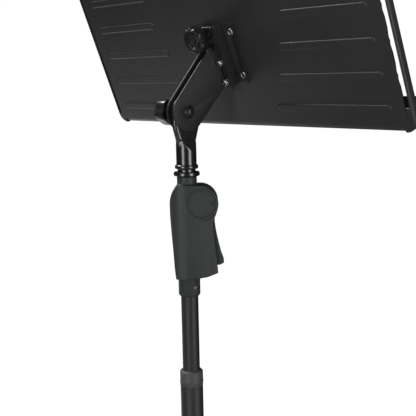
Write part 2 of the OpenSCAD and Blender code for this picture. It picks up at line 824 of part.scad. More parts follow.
// Hub: a boss round the tube with three pairs of ears
module hub() {
    ear_t = 4;
    ear_in = leg_w / 2 + gap;
    ear_r = leg_h / 2 + gap + 4;
    color(black) difference() {
        union() {
            translate([0, 0, hub_bottom]) cylinder(r = lower_d / 2 + 6, h = hub_top - hub_bottom);
            translate([0, 0, hub_top - eps]) cylinder(r1 = lower_d / 2 + 6, r2 = lower_d / 2 + 2, h = 8);
            for (a = leg_turns) rotate([0, 0, a]) translate([0, 0, leg_pin_z]) for (s = [-1, 1])
                translate([0, s * (ear_in + ear_t / 2), 0]) {
                    translate([leg_pin_x, 0, 0]) rod_y(ear_r, -ear_t / 2, ear_t / 2);
                    translate([0, -ear_t / 2, -ear_r]) cube([leg_pin_x, ear_t, 2 * ear_r]);
                }
            // lugs above the legs, which stop them when they are spread
            for (a = leg_turns) legged(a) translate([-ear_r - 4, -ear_in - 1, leg_h / 2 + gap])
                cube([ear_r + 9, 2 * ear_in + 2, ear_r - leg_h / 2 - gap - 0.6]);
        }
        translate([0, 0, tube_z]) cylinder(r = lower_d / 2, h = 200);
        translate([0, 0, hub_bottom - 1]) cylinder(r = 9, h = 40);
        for (a = leg_turns) rotate([0, 0, a]) {
            translate([leg_pin_x, 0, leg_pin_z]) {
                rod_y(leg_pin_d / 2, -20, 20);
                // room for the leg's round end
                rod_y(leg_h / 2 + gap / 2, -ear_in, ear_in);
            }
            rotate([0, 0, 60]) translate([0, 0, hub_top - 8]) rod_x(2.5, 4, 40);
        }
    }
}

module hub_screws() {
    color(zinc) for (a = leg_turns) rotate([0, 0, a + 60]) translate([0, 0, hub_top - 8]) difference() {
        rod_x(2.5, lower_d / 2, lower_d / 2 + 5.6);
        translate([lower_d / 2 + 4, 0, 0]) rotate([0, 90, 0]) cylinder(r = 1.2, h = 3, $fn = 6);
    }
}

module leg_pins() {
    reach = leg_w / 2 + gap + 4;
    color(zinc) for (a = leg_turns) rotate([0, 0, a]) translate([leg_pin_x, 0, leg_pin_z]) {
        rod_y(leg_pin_d / 2, -reach, reach);
        for (s = [-1, 1]) translate([0, s * (reach + 0.8), 0]) rod_y(leg_pin_d / 2 + 1.5, -0.8, 0.8);
    }
}

// The leg's own frame: origin on the pin, +X along the leg
module legged(a) {
    rotate([0, 0, a]) translate([leg_pin_x, 0, leg_pin_z]) rotate([0, leg_angle, 0]) children();
}

module leg(a) {
    wall = 1.6;
    color(satin_black) legged(a) difference() {
        slab_y(-leg_w / 2, leg_w / 2) {
            circle(r = leg_h / 2);
            translate([0, -leg_h / 2]) square([leg_len - 12, leg_h]);
        }
        translate([16, -leg_w / 2 + wall, -leg_h / 2 + wall]) cube([leg_len, leg_w - 2 * wall, leg_h - 2 * wall]);
        rod_y(leg_pin_d / 2 + running, -20, 20);
    }
}

// Rubber cap with a flat sole on the floor
module foot(a) {
    wall = 2.6;
    sole = 14.5;
    x1 = leg_len + 8;
    color(black) difference() {
        legged(a) difference() {
            slab_y(-leg_w / 2 - wall, leg_w / 2 + wall)
                round_rect(x1 - foot_len, -leg_h / 2 - wall - sole, x1, leg_h / 2 + wall, 4);
            translate([x1 - foot_len - 1, -leg_w / 2, -leg_h / 2]) cube([leg_len - 12 - x1 + foot_len + 1, leg_w, leg_h]);
        }
        translate([-500, -500, -100]) cube([1000, 1000, 100]);
    }
}

module leg_front() { leg(leg_turns[0]); }
module leg_left() { leg(leg_turns[1]); }
module leg_right() { leg(leg_turns[2]); }
module foot_front() { foot(leg_turns[0]); }
module foot_left() { foot(leg_turns[1]); }
module foot_right() { foot(leg_turns[2]); }

desk_panel();
desk_bracket();
bracket_rivets();
tilt_arm();
plate_screws();
plate_washers();
plate_nuts();
pivot_bolt();
handle_washer();
tilt_handle();
handle_insert();
thumb_knob();
thumb_stud();
clamp_nut();
neck_tube();
ring_collar();
swivel_spindle();
grip_left();
grip_right();
badge();
grip_screws();
grip_core();
trigger();
trigger_pin();
trigger_spring();
pull_rod();
clutch_wedge();
clutch_body();
clutch_shoes();
set_screw();
shaft();
guide_collar();
lower_tube();
tube_plug();
hub();
hub_screws();
leg_pins();
leg_front();
leg_left();
leg_right();
foot_front();
foot_left();
foot_right();
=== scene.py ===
import json
import math

import bmesh
import bpy
from mathutils import Matrix, Vector


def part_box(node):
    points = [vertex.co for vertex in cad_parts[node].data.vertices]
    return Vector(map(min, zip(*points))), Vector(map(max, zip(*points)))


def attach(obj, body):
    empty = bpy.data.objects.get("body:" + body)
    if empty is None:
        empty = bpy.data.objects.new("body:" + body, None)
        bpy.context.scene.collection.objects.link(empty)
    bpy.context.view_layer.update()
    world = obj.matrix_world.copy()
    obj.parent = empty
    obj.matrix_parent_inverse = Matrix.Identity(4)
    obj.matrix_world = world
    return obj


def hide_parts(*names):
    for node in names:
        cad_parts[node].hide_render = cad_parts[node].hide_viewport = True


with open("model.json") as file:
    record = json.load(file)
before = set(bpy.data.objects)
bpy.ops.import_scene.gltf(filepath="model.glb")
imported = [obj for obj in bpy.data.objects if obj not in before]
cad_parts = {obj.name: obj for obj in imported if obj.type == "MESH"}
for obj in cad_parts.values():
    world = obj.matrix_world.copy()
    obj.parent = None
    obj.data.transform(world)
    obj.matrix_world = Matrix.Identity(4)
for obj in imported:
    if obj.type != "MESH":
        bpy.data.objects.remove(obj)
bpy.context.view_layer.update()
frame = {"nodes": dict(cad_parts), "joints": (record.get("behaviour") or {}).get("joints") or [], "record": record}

# New pieces are drawn in millimetres in a local frame, and from_bmesh turns them into metres.
MM = 0.001
WELD = 2e-6
UPRIGHT = Matrix.Identity(4)
JOINTS = {j["name"]: j for j in frame["joints"]}
NODES = frame["nodes"]
SLOTS = {s["node"]: s["material_slot"] for s in frame["record"]["subparts"]}
COLOURS = {m["slot"]: tuple(m["base_color"][:3]) for m in frame["record"]["materials"]}

# ---------------------------------------------------------------- frames of the moving groups

# The desk's group leans about the tilt pivot: local y comes out of the desk's back, local z goes up it.
PIVOT = Vector(JOINTS["desk_tilt"]["pos_m"])
LEAN = math.asin(-JOINTS["thumb_turn"]["axis"][2])
TILTED = Matrix.Translation(PIVOT) @ Matrix.Rotation(-LEAN, 4, "X")

# The grip's group stands on the sleeve's lower end, with local x towards the trigger.
TRIGGER_PIN = Vector(JOINTS["trigger_squeeze"]["pos_m"])
GRIP_TURN = math.atan2(TRIGGER_PIN.y, TRIGGER_PIN.x)
SLEEVE_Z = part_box("grip_core")[0].z
GRIPPED = Matrix.Translation((0, 0, SLEEVE_Z)) @ Matrix.Rotation(GRIP_TURN, 4, "Z")


def about_x(x, y, z):
    """Local frame whose Z runs along +X, for turned pieces."""
    return Matrix.Translation((x, y, z)) @ Matrix.Rotation(math.pi / 2, 4, "Y")


def about_y(x, z):
    """Frame at local x and z, in millimetres, whose Z runs along +Y, for turned pieces."""
    return Matrix.Translation((x * MM, 0, z * MM)) @ Matrix.Rotation(-math.pi / 2, 4, "X")


# ---------------------------------------------------------------- materials

# Noise hardly leaves this band, so colours and gloss are spread over it
NOISE_LOW, NOISE_HIGH = 0.3, 0.7


def new_material(name):
    m = bpy.data.materials.new(name)
    m.use_nodes = True
    nodes, links = m.node_tree.nodes, m.node_tree.links
    coord = nodes.new("ShaderNodeTexCoord")
    return m, nodes, links, nodes["Principled BSDF"], coord.outputs["Object"]


def noise(nodes, links, coord, scale, detail=3.0, rough=0.5):
    n = nodes.new("ShaderNodeTexNoise")
    n.inputs["Scale"].default_value = scale
    n.inputs["Detail"].default_value = detail
    n.inputs["Roughness"].default_value = rough
    links.new(coord, n.inputs["Vector"])
    return n.outputs["Fac"]


def ramp(nodes, links, fac, low, high):
    """A colour between low and high, from noise."""
    r = nodes.new("ShaderNodeValToRGB")
    first, last = r.color_ramp.elements
    first.position, last.position = NOISE_LOW, NOISE_HIGH
    first.color, last.color = (*low, 1), (*high, 1)
    links.new(fac, r.inputs["Fac"])
    return r.outputs["Color"]


def spread(nodes, links, fac, low, high):
    """A value between low and high, from noise."""
    r = nodes.new("ShaderNodeMapRange")
    r.inputs["From Min"].default_value = NOISE_LOW
    r.inputs["From Max"].default_value = NOISE_HIGH
    r.inputs["To Min"].default_value = low
    r.inputs["To Max"].default_value = high
    links.new(fac, r.inputs["Value"])
    return r.outputs["Result"]


def bump(nodes, links, height, strength, distance):
    b = nodes.new("ShaderNodeBump")
    b.inputs["Strength"].default_value = strength
    b.inputs["Distance"].default_value = distance
    links.new(height, b.inputs["Height"])
    return b.outputs["Normal"]


def coated(name, rough, grain, depth, shade=1.0, vary=0.25, ior=1.5, broad=14):
    """Paint, plastic or rubber: broad mottling in colour and gloss, and a fine grain in the surface."""
    m, nodes, links, bsdf, coord = new_material(name)
    cloud = noise(nodes, links, coord, broad, 4)
    fine = noise(nodes, links, coord, grain, 2)
    colour = [shade * c for c in COLOURS[name]]
    low = tuple(c * (1 - vary) for c in colour)
    high = tuple(min(1, c * (1 + vary)) for c in colour)
    links.new(ramp(nodes, links, cloud, low, high), bsdf.inputs["Base Color"])
    links.new(spread(nodes, links, cloud, rough * 0.9, min(1, rough * 1.12)), bsdf.inputs["Roughness"])
    links.new(bump(nodes, links, fine, 1.0, depth), bsdf.inputs["Normal"])
    bsdf.inputs["IOR"].default_value = ior
    return m


def plated(name, rough):
    """Zinc-plated or brass metal: cloudy reflectance, and fine lines left by machining."""
    m, nodes, links, bsdf, coord = new_material(name)
    cloud = noise(nodes, links, coord, 220, 5, 0.6)
    fine = noise(nodes, links, coord, 2400, 2)
    low = tuple(c * 0.72 for c in COLOURS[name])
    links.new(ramp(nodes, links, cloud, low, COLOURS[name]), bsdf.inputs["Base Color"])
    links.new(spread(nodes, links, cloud, rough * 0.75, rough * 1.3), bsdf.inputs["Roughness"])
    links.new(bump(nodes, links, fine, 0.5, 0.00002), bsdf.inputs["Normal"])
    bsdf.inputs["Metallic"].default_value = 1.0
    return m


MATERIALS = {
    "desk_coat": coated("desk_coat", 0.4, 2600, 0.00003, vary=0.12, broad=6),
    "arm_coat": coated("arm_coat", 0.55, 1500, 0.00006, shade=0.6),
    "gloss_coat": coated("gloss_coat", 0.26, 420, 0.000008, ior=1.9),
    "tube_coat": coated("tube_coat", 0.5, 1600, 0.00002),
    "black_steel": coated("black_steel", 0.34, 900, 0.00001),
    "knob_plastic": coated("knob_plastic", 0.34, 1500, 0.00002),
    "grip_plastic": coated("grip_plastic", 0.52, 1700, 0.00005, vary=0.12),
    "badge_plastic": coated("badge_plastic", 0.52, 1700, 0.00005, vary=0.12),
    "collar_plastic": coated("collar_plastic", 0.5, 1500, 0.00004, vary=0.1),
    "hub_plastic": coated("hub_plastic", 0.5, 1400, 0.00005),
    "foot_rubber": coated("foot_rubber", 0.75, 1100, 0.00008, vary=0.3),
    "shoe_brass": plated("shoe_brass", 0.4),
    "zinc": plated("zinc", 0.26),
}

# ---------------------------------------------------------------- CAD nodes that keep their shape

# The shaft is as satin as the tube, and the sleeve is as grey as the grip
LOOKS = {"shaft": "tube_coat", "grip_core": "grip_plastic"}

# Widths of the softened edges, in millimetres
BEVELS = {"tilt_arm": 0.5, "desk_bracket": 0.5, "lower_tube": 0.3, "shaft": 0.3, "hub": 0.8,
          "leg_front": 0.5, "leg_left": 0.5, "leg_right": 0.5, "guide_collar": 0.3, "grip_core": 0.25}
SMALL_BEVEL = 0.15


def soften_node(name, obj):
    """Give a CAD node its material and catch the light on its edges."""
    obj.data.materials.clear()
    obj.data.materials.append(MATERIALS[LOOKS.get(name, SLOTS[name])])
    for p in obj.data.polygons:
        p.use_smooth = True
    weld = obj.modifiers.new("weld", "WELD")
    weld.merge_threshold = WELD
    bev = obj.modifiers.new("bevel", "BEVEL")
    bev.width = BEVELS.get(name, SMALL_BEVEL) * MM
    bev.segments = 2
    bev.limit_method = "ANGLE"
    bev.angle_limit = math.radians(38)
    bev.use_clamp_overlap = True
    bev.harden_normals = True


for node_name, node_obj in NODES.items():
    soften_node(node_name, node_obj)

# ---------------------------------------------------------------- helpers for new pieces


def from_bmesh(name, bm, place=UPRIGHT, scale=MM):
    """An object from a bmesh drawn in a local frame."""
    bmesh.ops.scale(bm, vec=(scale,) * 3, verts=bm.verts)
    bm.transform(place)
    me = bpy.data.meshes.new(name)
    bm.to_mesh(me)
    bm.free()
    obj = bpy.data.objects.new(name, me)
    bpy.context.scene.collection.objects.link(obj)
    return obj


def finish_piece(obj, name, body, slot, nodes, angle=35):
    """Name a new piece, give it its material and its body, and hide the CAD nodes it stands for."""
    obj.name = obj.data.name = name
    obj.data.materials.clear()
    obj.data.materials.append(MATERIALS[slot])
    for p in obj.data.polygons:
        p.use_smooth = True
    obj.data.set_sharp_from_angle(angle=math.radians(angle))
    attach(obj, body)
    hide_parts(*nodes)
    return obj


def apply_modifiers(obj):
    depsgraph = bpy.context.evaluated_depsgraph_get()
    me = bpy.data.meshes.new_from_object(obj.evaluated_get(depsgraph))
    obj.modifiers.clear()
    old, obj.data = obj.data, me
    bpy.data.meshes.remove(old)
    return obj


def join(objs):
    """Make one loose object of several."""
    bm = bmesh.new()
    for o in objs:
        bm.from_mesh(o.data)
    for o in objs:
        bpy.data.objects.remove(o)
    return from_bmesh("part", bm, UPRIGHT, 1.0)


def combine(obj, others, operation):
    """Join other loose objects to obj, or cut them out of it."""
    for other in others:
        mod = obj.modifiers.new("combine", "BOOLEAN")
        mod.operation = operation
        mod.solver = "EXACT"
        mod.object = other
    apply_modifiers(obj)
    for other in others:
        bpy.data.objects.remove(other)
    return obj


def ring_angles(count):
    """Angle in radians of each corner of a regular ring."""
    return [2 * math.pi * i / count for i in range(count)]


def band(bm, a, b):
    """Faces between two rings of corners; either ring may be a single corner."""
    if len(a) == len(b) == 1:
        return
    count = max(len(a), len(b))
    for i in range(count):
        j = (i + 1) % count
        if len(a) == 1:
            bm.faces.new((a[0], b[j], b[i]))
        elif len(b) == 1:
            bm.faces.new((a[i], a[j], b[0]))
        else:
            bm.faces.new((a[i], a[j], b[j], b[i]))


def turned(profile, place, segments=64, ripple=None, closed=False):
    """A loose solid turned about local Z from (radius, height) points.

    closed joins the last point to the first, and ripple(angle, radius, height) changes the radius.
    """
    bm = bmesh.new()
    rings = []
    for r, z in profile:
        if r == 0:
            rings.append([bm.verts.new((0, 0, z))])
            continue
        ring = []
        for a in ring_angles(segments):
            radius = ripple(a, r, z) if ripple else r
            ring.append(bm.verts.new((radius * math.cos(a), radius * math.sin(a), z)))
        rings.append(ring)
    for a, b in zip(rings, rings[1:]):
        band(bm, a, b)
    if closed:
        band(bm, rings[-1], rings[0])
    else:
        for ring in (rings[0], rings[-1]):
            if len(ring) > 1:
                bm.faces.new(ring)
    bmesh.ops.recalc_face_normals(bm, faces=bm.faces)
    return from_bmesh("part", bm, place)


def prism(outline, y0, y1, place):
    """A loose solid from an outline in local x and z, given a thickness along local y."""
    bm = bmesh.new()
    a = [bm.verts.new((x, y0, z)) for x, z in outline]
    b = [bm.verts.new((x, y1, z)) for x, z in outline]
    bm.faces.new(a[::-1])
    bm.faces.new(b)
    band(bm, a, b)
    bmesh.ops.recalc_face_normals(bm, faces=bm.faces)
    return from_bmesh("part", bm, place)


def block(place, low, high):
    """A loose box between two local corners."""
    bm = bmesh.new()
    bmesh.ops.create_cube(bm, size=1)
    low, high = Vector(low), Vector(high)
    bmesh.ops.scale(bm, vec=high - low, verts=bm.verts)
    bmesh.ops.translate(bm, vec=(low + high) / 2, verts=bm.verts)
    return from_bmesh("part", bm, place)


def solid_boxes(node, place):
    """Low and high corners of each separate solid of a CAD node, in millimetres in a local frame."""
    bm = bmesh.new()
    bm.from_mesh(NODES[node].data)
    bmesh.ops.remove_doubles(bm, verts=bm.verts, dist=WELD)
    back = place.inverted()
    seen, boxes = set(), []
    for v in bm.verts:
        if v in seen:
            continue
        stack, island = [v], []
        seen.add(v)
        while stack:
            w = stack.pop()
            island.append(back @ w.co)
            for e in w.link_edges:
                other = e.other_vert(w)
                if other not in seen:
                    seen.add(other)
                    stack.append(other)
        low = Vector([min(c[i] for c in island) for i in range(3)])
        high = Vector([max(c[i] for c in island) for i in range(3)])
        boxes.append((low / MM, high / MM))
    bm.free()
    return boxes

# ---------------------------------------------------------------- desk

# All in millimetres in the leaning frame; the back is the sheet's outer face between the ribs
DESK_LOW, DESK_HIGH = [[round(c, 2) for c in corner] for corner in solid_boxes("desk_panel", TILTED)[0]]
HALF = (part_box("desk_panel")[1].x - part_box("desk_panel")[0].x) / 2 / MM
BOTTOM, TOP = DESK_LOW[2], DESK_HIGH[2]
SHEET = 1.5
CORNER, BEND, TRAY_BEND, LIP_BEND = 14.0, 2.5, 8.0, 3
RIM, TRAY, LIP = 9.0, 62.0, 15.0

# Height of each pressed rib, with where it starts beside the middle
RIB_COUNT, RIB_FIRST, RIB_PITCH = 8, 26.5, 36
RIBS = [(BOTTOM + RIB_FIRST + RIB_PITCH * i, 74 + 14 * min(i, RIB_COUNT - 1 - i)) for i in range(RIB_COUNT)]
RIB_END, RIB_W, RIB_RAISE, RIB_EDGE = HALF - 29, 9.0, 1.4, 1.15
BACK = DESK_HIGH[1] - RIB_RAISE

# A grid line that the corner patches share with the panel above them
CORNER_LINE = HALF - 8
NEAR = 1e-3


def rib_height(x, z):
    """How far the back stands out at a point of the panel, from the pressed ribs."""
    for rz, inner in RIBS:
        if abs(z - rz) > RIB_W:
            continue
        beyond = max(inner - abs(x), 0, abs(x) - RIB_END)
        from_spine = math.hypot(beyond, z - rz)
        t = max(0.0, min(1.0, (RIB_W / 2 - from_spine) / RIB_EDGE + 0.15))
        return RIB_RAISE * t * t * (3 - 2 * t)
    return 0.0


def thinned(values, low, high):
    """Sorted grid lines between two limits, without those that almost coincide."""
    out = []
    for v in sorted(round(v, 3) for v in values):
        if low - 1e-6 <= v <= high + 1e-6 and (not out or v - out[-1] > 0.25):
            out.append(v)
    return out


def desk_lines():
    """Grid lines of the panel: close together where the ribs' edges and ends are."""
    zs = {BOTTOM + TRAY_BEND, BOTTOM + CORNER, TOP - BEND}
    for rz, _ in RIBS:
        for off in (0, 1.2, 2.2, 2.8, 3.3, 3.8, 4.3, 4.8, 5.3, 12):
            zs |= {rz - off, rz + off}
    xs = {0.0, HALF - BEND, HALF - CORNER}
    for _, inner in RIBS:
        xs |= {inner + v for v in (-5.3, -4.8, -4.3, -3.8, -3.2, -2.5, -1.7, -0.8, 0, 1.2)}
    xs |= {RIB_END + v for v in (-1.2, 0, 0.8, 1.7, 2.5, 3.2, 3.8, 4.3, 4.8, 5.3)}
    xs |= {20.0, 40.0, 58.0, 140.0, 165.0, 190.0, 210.0, CORNER_LINE}
    zs = thinned(zs, BOTTOM + TRAY_BEND, TOP - BEND)
    xs = thinned(xs, 0, HALF - BEND)
    return [-x for x in reversed(xs[1:])] + xs, zs


def arc(step, count):
    """Angles in radians from 0, step degrees apart."""
    return [math.radians(step * k) for k in range(count)]


def patch(bm, rows):
    """A grid of faces through rows of points."""
    grid = [[bm.verts.new(p) for p in row] for row in rows]
    for a, b in zip(grid, grid[1:]):
        for i in range(len(a) - 1):
            bm.faces.new((a[i], a[i + 1], b[i + 1], b[i]))


def lower_corner(bm, side, centre_x, centre_z):
    """The flat of one rounded lower corner, as a fan."""
    r = CORNER - BEND
    centre = bm.verts.new((side * centre_x, BACK, centre_z))
    rim = [bm.verts.new((side * (centre_x + r * math.cos(a)), BACK, centre_z - r * math.sin(a)))
           for a in arc(9, 11)]
    between = bm.verts.new((side * CORNER_LINE, BACK, centre_z))
    bm.faces.new((centre, between, rim[0], rim[1]))
    for a, b in zip(rim[1:-2], rim[2:-1]):
        bm.faces.new((centre, a, b))
    low = bm.verts.new((side * centre_x, BACK, BOTTOM + TRAY_BEND))
    bm.faces.new((centre, rim[-2], rim[-1], low))


def rim_path(xs, zs, centre_x, centre_z):
    """Path of the rim round sides and top: x and z of the bend's centre, its outward direction, its reach."""
    right = [(centre_x, centre_z, math.cos(a), -math.sin(a), CORNER) for a in reversed(arc(9, 11))]
    right += [(HALF - BEND, z, 1, 0, BEND) for z in zs[1:-1]]
    right += [(HALF - BEND, TOP - BEND, math.cos(a), math.sin(a), BEND) for a in arc(15, 7)]
    across = [(x, TOP - BEND, 0, 1, BEND) for x in reversed(xs[1:-1])]
    left = [(-x, z, -nx, nz, r) for x, z, nx, nz, r in reversed(right)]
    return right + across + left


def rim_rows(path):
    """Rows of points that sweep the rim's bend and flange along the path."""
    section = [(BEND * math.sin(a), BEND - BEND * math.cos(a)) for a in arc(22.5, 5)]
    section += [(BEND, 5.0), (BEND, RIM - 0.6), (BEND - 0.15, RIM)]
    rows = []
    for out, depth in section:
        row = []
        for x, z, nx, nz, r in path:
            reach = r - BEND + out
            row.append((x + nx * reach, BACK - depth, z + nz * reach))
        rows.append(row)
    return rows


def tray_profile():
    """Points in local y and z down the back's lower bend, along the tray and up the lip."""
    front = BACK - TRAY
    prof = []
    for a in arc(9, 11):
        y = BACK - TRAY_BEND + TRAY_BEND * math.cos(a)
        prof.append((y, BOTTOM + TRAY_BEND - TRAY_BEND * math.sin(a)))
    prof += [(BACK - 25, BOTTOM), (BACK - 45, BOTTOM)]
    for a in arc(18, 6):
        prof.append((front + LIP_BEND - LIP_BEND * math.sin(a), BOTTOM + LIP_BEND - LIP_BEND * math.cos(a)))
    prof += [(front, BOTTOM + 9), (front, BOTTOM + LIP - 0.6), (front + 0.15, BOTTOM + LIP)]
    return prof


def build_desk():
    bm = bmesh.new()
    xs, zs = desk_lines()
    tray_x, corner_z = HALF - CORNER, BOTTOM + CORNER
    upper = [z for z in zs if z >= corner_z - NEAR]
    lower = [z for z in zs if z <= corner_z + NEAR]
    inner_xs = [x for x in xs if abs(x) <= tray_x + NEAR]
    patch(bm, [[(x, BACK + rib_height(x, z), z) for x in xs] for z in upper])
    patch(bm, [[(x, BACK, z) for x in inner_xs] for z in lower])
    for side in (-1, 1):
        lower_corner(bm, side, tray_x, corner_z)
    patch(bm, rim_rows(rim_path(xs, upper, tray_x, corner_z)))
    patch(bm, [[(x, y, z) for x in inner_xs] for y, z in tray_profile()])
    bmesh.ops.remove_doubles(bm, verts=bm.verts, dist=0.02)
    bmesh.ops.recalc_face_normals(bm, faces=bm.faces)
    # the sheet is open, so its outside is set by a face of the back
    on_back = Vector((30, BACK, 0))
    probe = min(bm.faces, key=lambda f: (f.calc_center_median() - on_back).length)
    if probe.normal.y < 0:
        bmesh.ops.reverse_faces(bm, faces=bm.faces)
    obj = from_bmesh("part", bm, TILTED)
    solid = obj.modifiers.new("sheet", "SOLIDIFY")
    solid.thickness = SHEET * MM
    solid.offset = -1
    solid.use_even_offset = True
    solid.thickness_clamp = 1.0
    apply_modifiers(obj)
    finish_piece(obj, "desk_sheet", "arm", "desk_coat", ["desk_panel"], 50)


build_desk()

# ---------------------------------------------------------------- fixings on the desk and the arm


def across_desk(low, high):
    """Frame through the middle of a solid's box, with its Z out of the desk's back."""
    return TILTED @ about_y((low.x + high.x) / 2, (low.z + high.z) / 2)


def rivet(low, high):
    """Hollow rivet: a flared tube on the desk's front and a rolled rim on the bracket's side."""
    front, rim = BACK - SHEET - 0.02, BACK + 2
    prof = [(2.0, front), (4.2, front), (4.2, front + 0.62), (3.0, front + 0.62), (3.0, rim), (4.05, rim),
            (4.1, rim + 0.4), (3.75, rim + 0.85), (3.2, rim + 1.05), (2.6, rim + 0.95), (2.2, rim + 0.6),
            (2.0, rim + 0.1)]
    return turned(prof, across_desk(low, high), 48, closed=True)


def cross_cutter(place, floor, turn):
    """Cutter for a cross recess whose arms widen outwards, from its floor up."""
    arm, half = 2.2, 0.55
    outline = [(arm, -half), (arm, half), (half, half), (half, arm), (-half, arm), (-half, half),
               (-arm, half), (-arm, -half), (-half, -half), (-half, -arm), (half, -arm), (half, -half)]
    bm = bmesh.new()
    low = [bm.verts.new((x * 0.6, y * 0.6, floor)) for x, y in outline]
    high = [bm.verts.new((x * 1.1, y * 1.1, floor + 2.0)) for x, y in outline]
    bm.faces.new(low[::-1])
    bm.faces.new(high)
    band(bm, low, high)
    bmesh.ops.rotate(bm, cent=(0, 0, 0), matrix=Matrix.Rotation(turn, 3, "Z"), verts=bm.verts)
    return from_bmesh("part", bm, place)


def screw(low, high):
    """Pan-head screw with a cross recess, each turned by its own angle."""
    place = across_desk(low, high)
    seat = high.y - 3.2
    prof = [(0, low.y), (2.2, low.y), (2.5, low.y + 0.4), (2.5, seat), (3.9, seat), (4.25, seat + 0.3),
            (4.3, seat + 1.3), (4.1, seat + 2.1), (3.5, seat + 2.8), (2.4, seat + 3.12), (1.2, seat + 3.2),
            (0, seat + 3.2)]
    turn = (low.x + high.x) / 2 + (low.z + high.z) / 2
    return combine(turned(prof, place), [cross_cutter(place, seat + 2.0, turn)], "DIFFERENCE")


def washer(low, high):
    y0, y1 = low.y, high.y
    prof = [(2.6, y0), (4.4, y0), (4.6, y0 + 0.2), (4.6, y1 - 0.25), (4.4, y1), (2.6, y1)]
    return turned(prof, across_desk(low, high), 48, closed=True)


def build_fixings():
    for name, node, make in (("rivets", "bracket_rivets", rivet), ("screws", "plate_screws", screw),
                             ("washers", "plate_washers", washer)):
        parts = [make(low, high) for low, high in solid_boxes(node, TILTED)]
        finish_piece(join(parts), name, "arm", "zinc", [node])


build_fixings()

# ---------------------------------------------------------------- knobs


def flutes(count, depth, r_from):
    """Shallow scallops round the edge of a knob."""
    def ripple(a, r, z):
        if r < r_from:
            return r
        return r - depth * (0.5 - 0.5 * math.cos(count * a)) ** 0.6 * min(1, (r - r_from) / 1.5)
    return ripple


def build_thumb_knob():
    """Thumb screw that clamps the desk to the arm: fluted rim and raised rings on its face."""
    low, high = solid_boxes("thumb_knob", TILTED)[0]
    y0, y1 = low.y, high.y
    r = (high.x - low.x) / 2
    prof = [(4.2, y0), (6.6, y0), (7.0, y0 + 0.5), (7.0, y1 - 12.5), (7.6, y1 - 11), (9.5, y1 - 10.2)]
    prof += [(r - 3, y1 - 10), (r - 1.2, y1 - 9.6), (r - 0.3, y1 - 8.6), (r, y1 - 7.2), (r, y1 - 3.2),
             (r - 0.4, y1 - 2.0), (r - 1.4, y1 - 1.1), (r - 2.6, y1 - 0.8), (r - 3.6, y1 - 1.0),
             (r - 4.0, y1 - 1.9), (r - 5.4, y1 - 1.9), (r - 5.8, y1 - 0.9), (r - 6.6, y1 - 0.35),
             (r - 8.0, y1 - 0.2), (r - 8.6, y1 - 0.9), (r - 9.2, y1 - 1.7)]
    prof += [(4.2, y1 - 1.7), (3.8, y1 - 0.9), (3.0, y1 - 0.2), (1.5, y1), (0, y1)]
    obj = turned(prof, across_desk(low, high), 192, flutes(12, 1.3, r - 2.2))
    finish_piece(obj, "thumb_knob_cap", "thumb", "knob_plastic", ["thumb_knob"], 30)


def build_tilt_handle():
    """Tilt handle: a hollow lobed cup round a hub, with webs between them."""
    lobe_count, lobe_depth, lobe_from = 5, 1.0, 11
    cup = 24.0
    low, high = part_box("tilt_handle")
    x0, x1 = low.x / MM, high.x / MM
    r = (high.z - low.z) / 2 / MM
    place = TILTED @ about_x(0, 0, 0)

    def lobes(a, radius, z):
        if radius < lobe_from:
            return radius
        return radius - lobe_depth + lobe_depth * math.cos(lobe_count * (a - math.pi / 2))

    outside = [(r - 3.4, cup), (r - 1.2, cup), (r - 0.4, cup + 0.6), (r - 0.1, cup + 1.6), (r, cup + 6),
               (r, x1 - 4.5), (r - 0.5, x1 - 2.2), (r - 1.8, x1 - 0.8), (r - 3.6, x1 - 0.15), (11.5, x1),
               (7.0, x1 - 0.2), (6.4, x1 - 1.0), (0, x1 - 1.1)]
    inside = [(0, x1 - 3.2), (r - 4.6, x1 - 3.2), (r - 3.2, x1 - 4.2), (r - 3.0, x1 - 6), (r - 3.4, cup)]
    hub = [(6.05, x0), (8.2, x0), (8.6, x0 + 0.5), (8.6, x1 - 3), (6.05, x1 - 3)]
    parts = [turned(outside + inside, place, 160, lobes, closed=True), turned(hub, place, 64, closed=True)]
    for k in range(lobe_count):
        spin = place @ Matrix.Rotation(2 * math.pi * k / lobe_count + math.pi / 2, 4, "Z")
        parts.append(block(spin, (7.5, -0.9, cup + 4), (r - 3.2, 0.9, x1 - 2.5)))
    finish_piece(join(parts), "tilt_handle_cup", "handle", "knob_plastic", ["tilt_handle"], 30)


def build_pivot_bolt():
    """Pivot bolt with its domed head, flange and shank."""
    low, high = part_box("pivot_bolt")
    a, b = low.x / MM, high.x / MM
    dome_r, dome_h, steps = 6.4, 3.3, 8
    spread_angle = math.radians(67.2)
    prof = [(0, a)]
    for k in range(1, steps + 1):
        t = spread_angle * k / steps
        r = dome_r * math.sin(t) / math.sin(spread_angle)
        prof.append((r, a + dome_h * (1 - math.cos(t)) / (1 - math.cos(spread_angle))))
    prof += [(6.7, a + 3.7), (7.3, a + 3.75), (7.6, a + 4.0), (7.6, a + 4.7), (7.4, a + 4.9), (4.0, a + 4.9),
             (4.0, b - 0.5), (3.6, b), (0, b)]
    obj = turned(prof, about_x(0, 0, PIVOT.z), 96)
    finish_piece(obj, "pivot_bolt_turned", "arm", "black_steel", ["pivot_bolt"], 30)


build_thumb_knob()
build_tilt_handle()
build_pivot_bolt()

# ---------------------------------------------------------------- neck and rings


def bezier(t, a, b, c, d):
    return (1 - t) ** 3 * a + 3 * t * (1 - t) ** 2 * b + 3 * t * t * (1 - t) * c + t ** 3 * d


def soft_min(a, b, blend):
    h = max(blend - abs(a - b), 0) / blend
    return min(a, b) - h * h * blend / 4


def soft_max(a, b, blend):
    h = max(blend - abs(a - b), 0) / blend
    return max(a, b) + h * h * blend / 4


